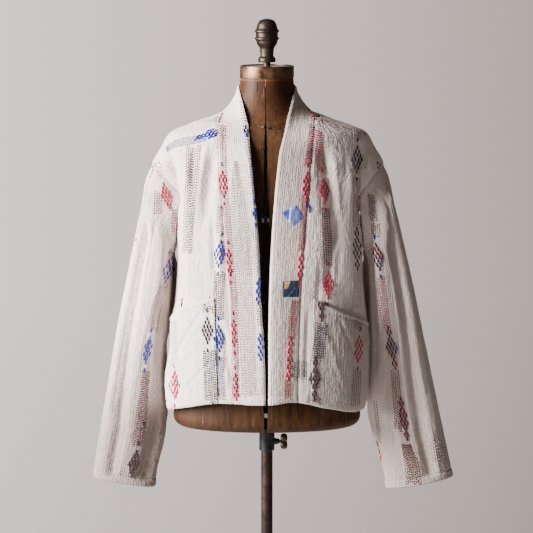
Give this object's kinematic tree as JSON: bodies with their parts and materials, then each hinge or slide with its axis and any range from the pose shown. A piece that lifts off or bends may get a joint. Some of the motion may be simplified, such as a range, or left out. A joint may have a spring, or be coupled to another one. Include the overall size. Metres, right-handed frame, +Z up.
{
  "type": "quilted kimono jacket on a dress form with its stand",
  "caption": "Cream running-stitch quilted kimono jacket with straight neckband, patch pockets and mended patches, worn by an antique brown dress form on a height-adjustable stand.",
  "frame": {"origin": "on the floor, on the axis of the stand's pole", "axes": "+Z up along the pole, -Y towards the viewer of the jacket's front, +X to that viewer's right"},
  "size_m": [0.7551, 0.34, 1.5891],
  "materials": {
    "cotton": "washed quilted cotton",
    "band_cotton": "washed quilted cotton",
    "pocket_cotton": "washed quilted cotton",
    "blue_patch": "faded cotton",
    "navy_patch": "faded cotton",
    "form_wood": "worn stained",
    "copper": "worn copper-coloured",
    "dark_bronze": "dark aged",
    "black_steel": "worn black",
    "dark_iron": "dark painted",
    "pale_steel": "dull"
  },
  "bodies": {
    "stand": {"stand_base": "dark_iron", "stand_pole": "dark_bronze"},
    "collar": {"clamp_collar": "black_steel"},
    "clamp_screw": {"thumbscrew": "black_steel"},
    "form": {"back_panel": "cotton", "front_left": "cotton", "front_right": "cotton", "sleeve_left": "cotton", "sleeve_right": "cotton", "neckband": "band_cotton", "pocket_left": "pocket_cotton", "pocket_right": "pocket_cotton", "patch_diamond": "blue_patch", "patch_square": "navy_patch", "form_half_left": "form_wood", "form_half_right": "form_wood", "neck_cap": "copper", "finial": "dark_bronze", "neck_screw_left": "pale_steel", "neck_screw_right": "pale_steel", "hem_screw_left": "pale_steel", "hem_screw_middle": "pale_steel", "hem_screw_right": "pale_steel", "spreader_bar": "black_steel", "spreader_tab_left": "pale_steel", "spreader_tab_right": "pale_steel", "slot_spacer": "pale_steel"}
  },
  "joints": [
    {"name": "height_slide", "type": "slide", "parent": "stand", "child": "collar", "axis": [0, 0, 1], "range_m": [-0.12, 0.12]},
    {"name": "form_turn", "type": "hinge", "parent": "collar", "child": "form", "pos_m": [0, 0, 0.745], "axis": [0, 0, 1], "continuous": true},
    {"name": "clamp_screw_turn", "type": "hinge", "parent": "collar", "child": "clamp_screw", "pos_m": [0, 0, 0.7092], "axis": [1, 0, 0], "continuous": true}
  ]
}
